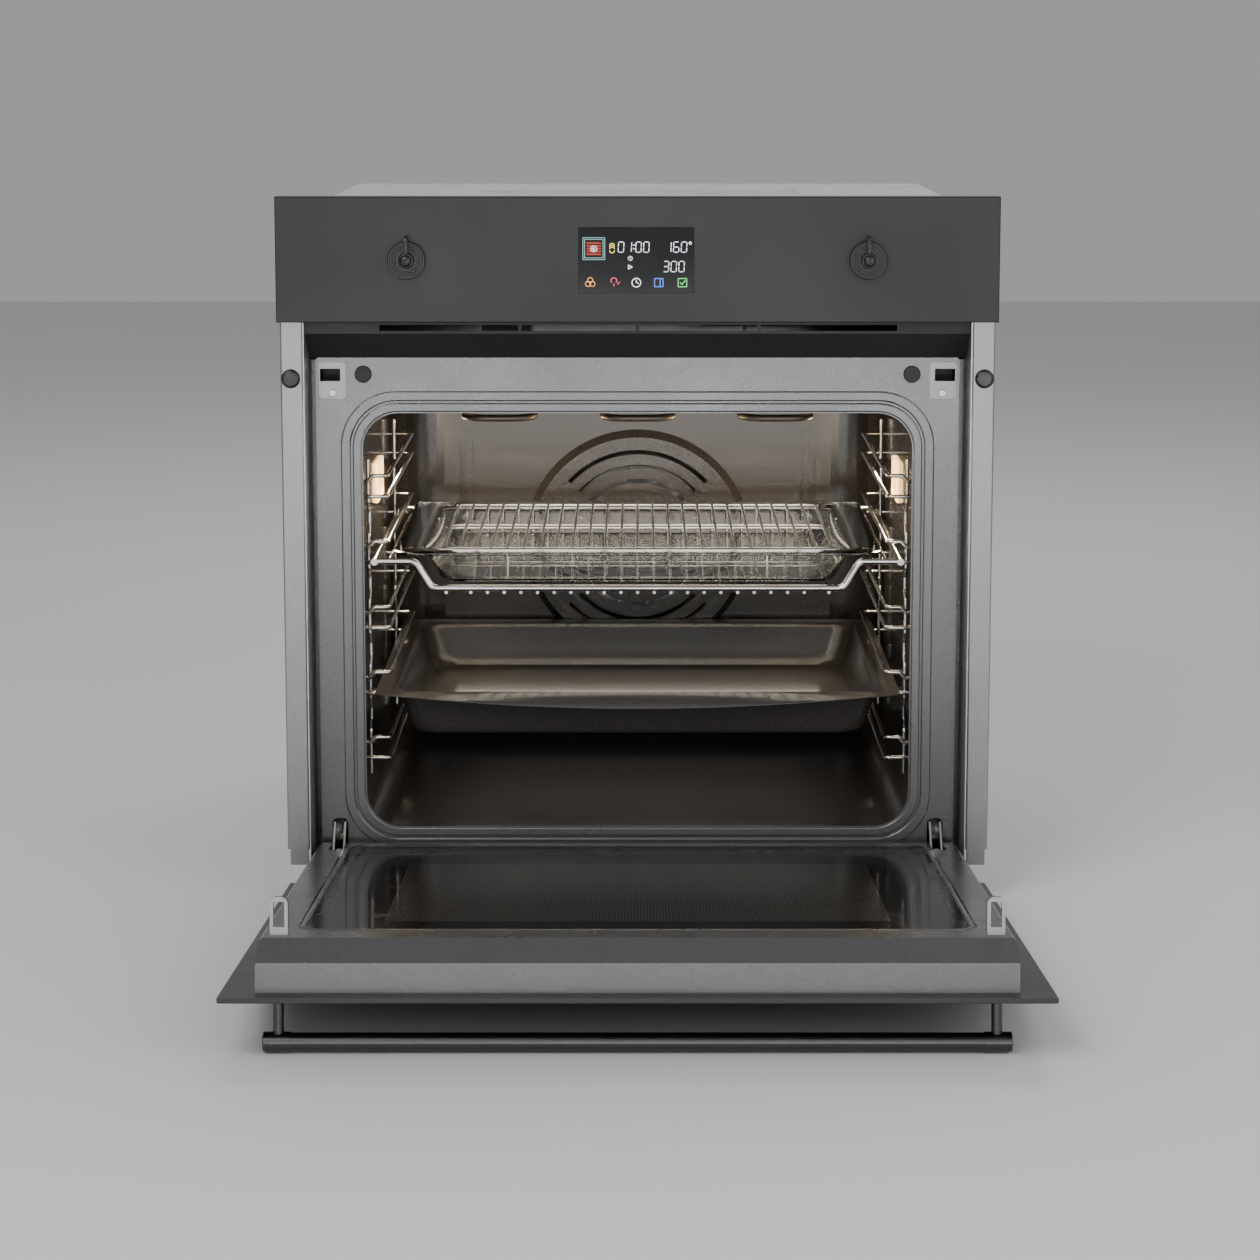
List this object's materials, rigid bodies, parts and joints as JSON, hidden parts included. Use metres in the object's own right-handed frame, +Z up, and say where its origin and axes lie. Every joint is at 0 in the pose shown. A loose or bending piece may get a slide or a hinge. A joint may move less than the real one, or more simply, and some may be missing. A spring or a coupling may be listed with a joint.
{
  "type": "wall oven",
  "caption": "Built-in 60 cm combination oven with a drop-down door, two knobs, a lit display, a rack with a glass tray and a deep baking tray.",
  "frame": {"origin": "middle of the underside of the base plate, on the centre line", "axes": "+X to the user's right, +Y from the door to the back, +Z up"},
  "size_m": [0.597, 0.9881, 0.597],
  "materials": {
    "casing": "galvanised sheet",
    "insulation": "mineral wool board",
    "frame_enamel": "grey metallic enamel",
    "trim_steel": "satin steel strip",
    "black_cap": "satin black",
    "bumper_rubber": "matt rubber",
    "chrome": "bright",
    "zinc_screw": "zinc plated",
    "vent_black": "matt black",
    "panel_black": "matt black",
    "display_glass": "dark glass with lit symbols",
    "knob_black": "satin black",
    "circuit_board": "printed board",
    "moulding": "moulded plastic",
    "cavity_enamel": "glossy vitreous enamel",
    "heater_sheath": "oxidised steel",
    "lamp_glass": "ribbed clear glass",
    "fan_steel": "stamped steel",
    "motor_steel": "plain steel",
    "door_black": "matt black coated glass",
    "liner_enamel": "grey metallic enamel",
    "door_glass": "tinted glass",
    "mesh_steel": "perforated sheet",
    "clear_glass": "clear glass",
    "handle_metal": "satin anthracite",
    "tray_enamel": "glossy vitreous enamel",
    "black_plastic": "moulded plastic"
  },
  "bodies": {
    "root": {"base_plate": "casing", "casing_left": "casing", "casing_right": "casing", "casing_top": "casing", "rear_cover": "casing", "insulation": "insulation", "front_frame": "frame_enamel", "latch_plates": "trim_steel", "latch_screws": "zinc_screw", "door_bumpers": "bumper_rubber", "side_trims": "trim_steel", "cabinet_screws": "zinc_screw", "screw_caps": "black_cap", "vent_grille": "vent_black", "air_deflector": "vent_black", "duct_floor": "casing", "control_panel": "panel_black", "panel_bracket": "casing", "display_window": "display_glass", "display_board": "circuit_board", "knob_encoders": "moulding", "oven_cavity": "cavity_enamel", "rear_baffle": "cavity_enamel", "ring_heater": "heater_sheath", "grill_heater": "heater_sheath", "lamp_lenses": "lamp_glass", "lamp_housings": "casing", "side_rack_right": "chrome", "side_rack_left": "chrome", "fan_motor": "motor_steel", "blower_housing": "casing", "blower_motor": "motor_steel", "magnetron": "motor_steel", "waveguide": "casing", "inverter_board": "circuit_board", "power_board": "circuit_board", "door_switches": "moulding", "terminal_block": "moulding", "cable_gland": "black_plastic", "hinge_arms": "chrome", "hinge_springs": "motor_steel", "hinge_pins": "chrome"},
    "door": {"door_panel": "door_black", "door_liner": "liner_enamel", "door_glass": "door_glass", "door_screen": "mesh_steel", "middle_glass": "clear_glass", "latch_loops": "trim_steel", "hinge_lugs": "motor_steel", "handle_bar": "handle_metal", "handle_posts": "handle_metal"},
    "left_knob": {"knob_left": "knob_black"},
    "right_knob": {"knob_right": "knob_black"},
    "wire_rack": {"wire_rack": "chrome"},
    "glass_tray": {"glass_tray": "clear_glass"},
    "tray_grid": {"tray_grid": "chrome"},
    "deep_tray": {"deep_tray": "tray_enamel"},
    "convection_fan": {"convection_fan": "fan_steel"},
    "blower_wheel": {"blower_wheel": "fan_steel"}
  },
  "joints": [
    {"name": "door_hinge", "type": "hinge", "parent": "root", "child": "door", "pos_m": [0, -0.271, 0.033], "axis": [-1, 0, 0], "range_deg": [0, 84.6]},
    {"name": "left_knob_turn", "type": "hinge", "parent": "root", "child": "left_knob", "pos_m": [-0.19, -0.3, 0.545], "axis": [0, 1, 0], "continuous": true},
    {"name": "right_knob_turn", "type": "hinge", "parent": "root", "child": "right_knob", "pos_m": [0.19, -0.3, 0.545], "axis": [0, 1, 0], "continuous": true},
    {"name": "wire_rack_slide", "type": "slide", "parent": "root", "child": "wire_rack", "axis": [0, 1, 0], "range_m": [-0.25, 0]},
    {"name": "glass_tray_lift", "type": "slide", "parent": "wire_rack", "child": "glass_tray", "axis": [0, 0, 1], "range_m": [0, 0.03]},
    {"name": "tray_grid_lift", "type": "slide", "parent": "glass_tray", "child": "tray_grid", "axis": [0, 0, 1], "range_m": [0, 0.03]},
    {"name": "deep_tray_slide", "type": "slide", "parent": "root", "child": "deep_tray", "axis": [0, 1, 0], "range_m": [-0.25, 0]},
    {"name": "convection_fan_spin", "type": "hinge", "parent": "root", "child": "convection_fan", "pos_m": [0, 0.14, 0.243], "axis": [0, 1, 0], "continuous": true},
    {"name": "blower_wheel_spin", "type": "hinge", "parent": "root", "child": "blower_wheel", "pos_m": [0, -0.06, 0.524], "axis": [1, 0, 0], "continuous": true}
  ]
}
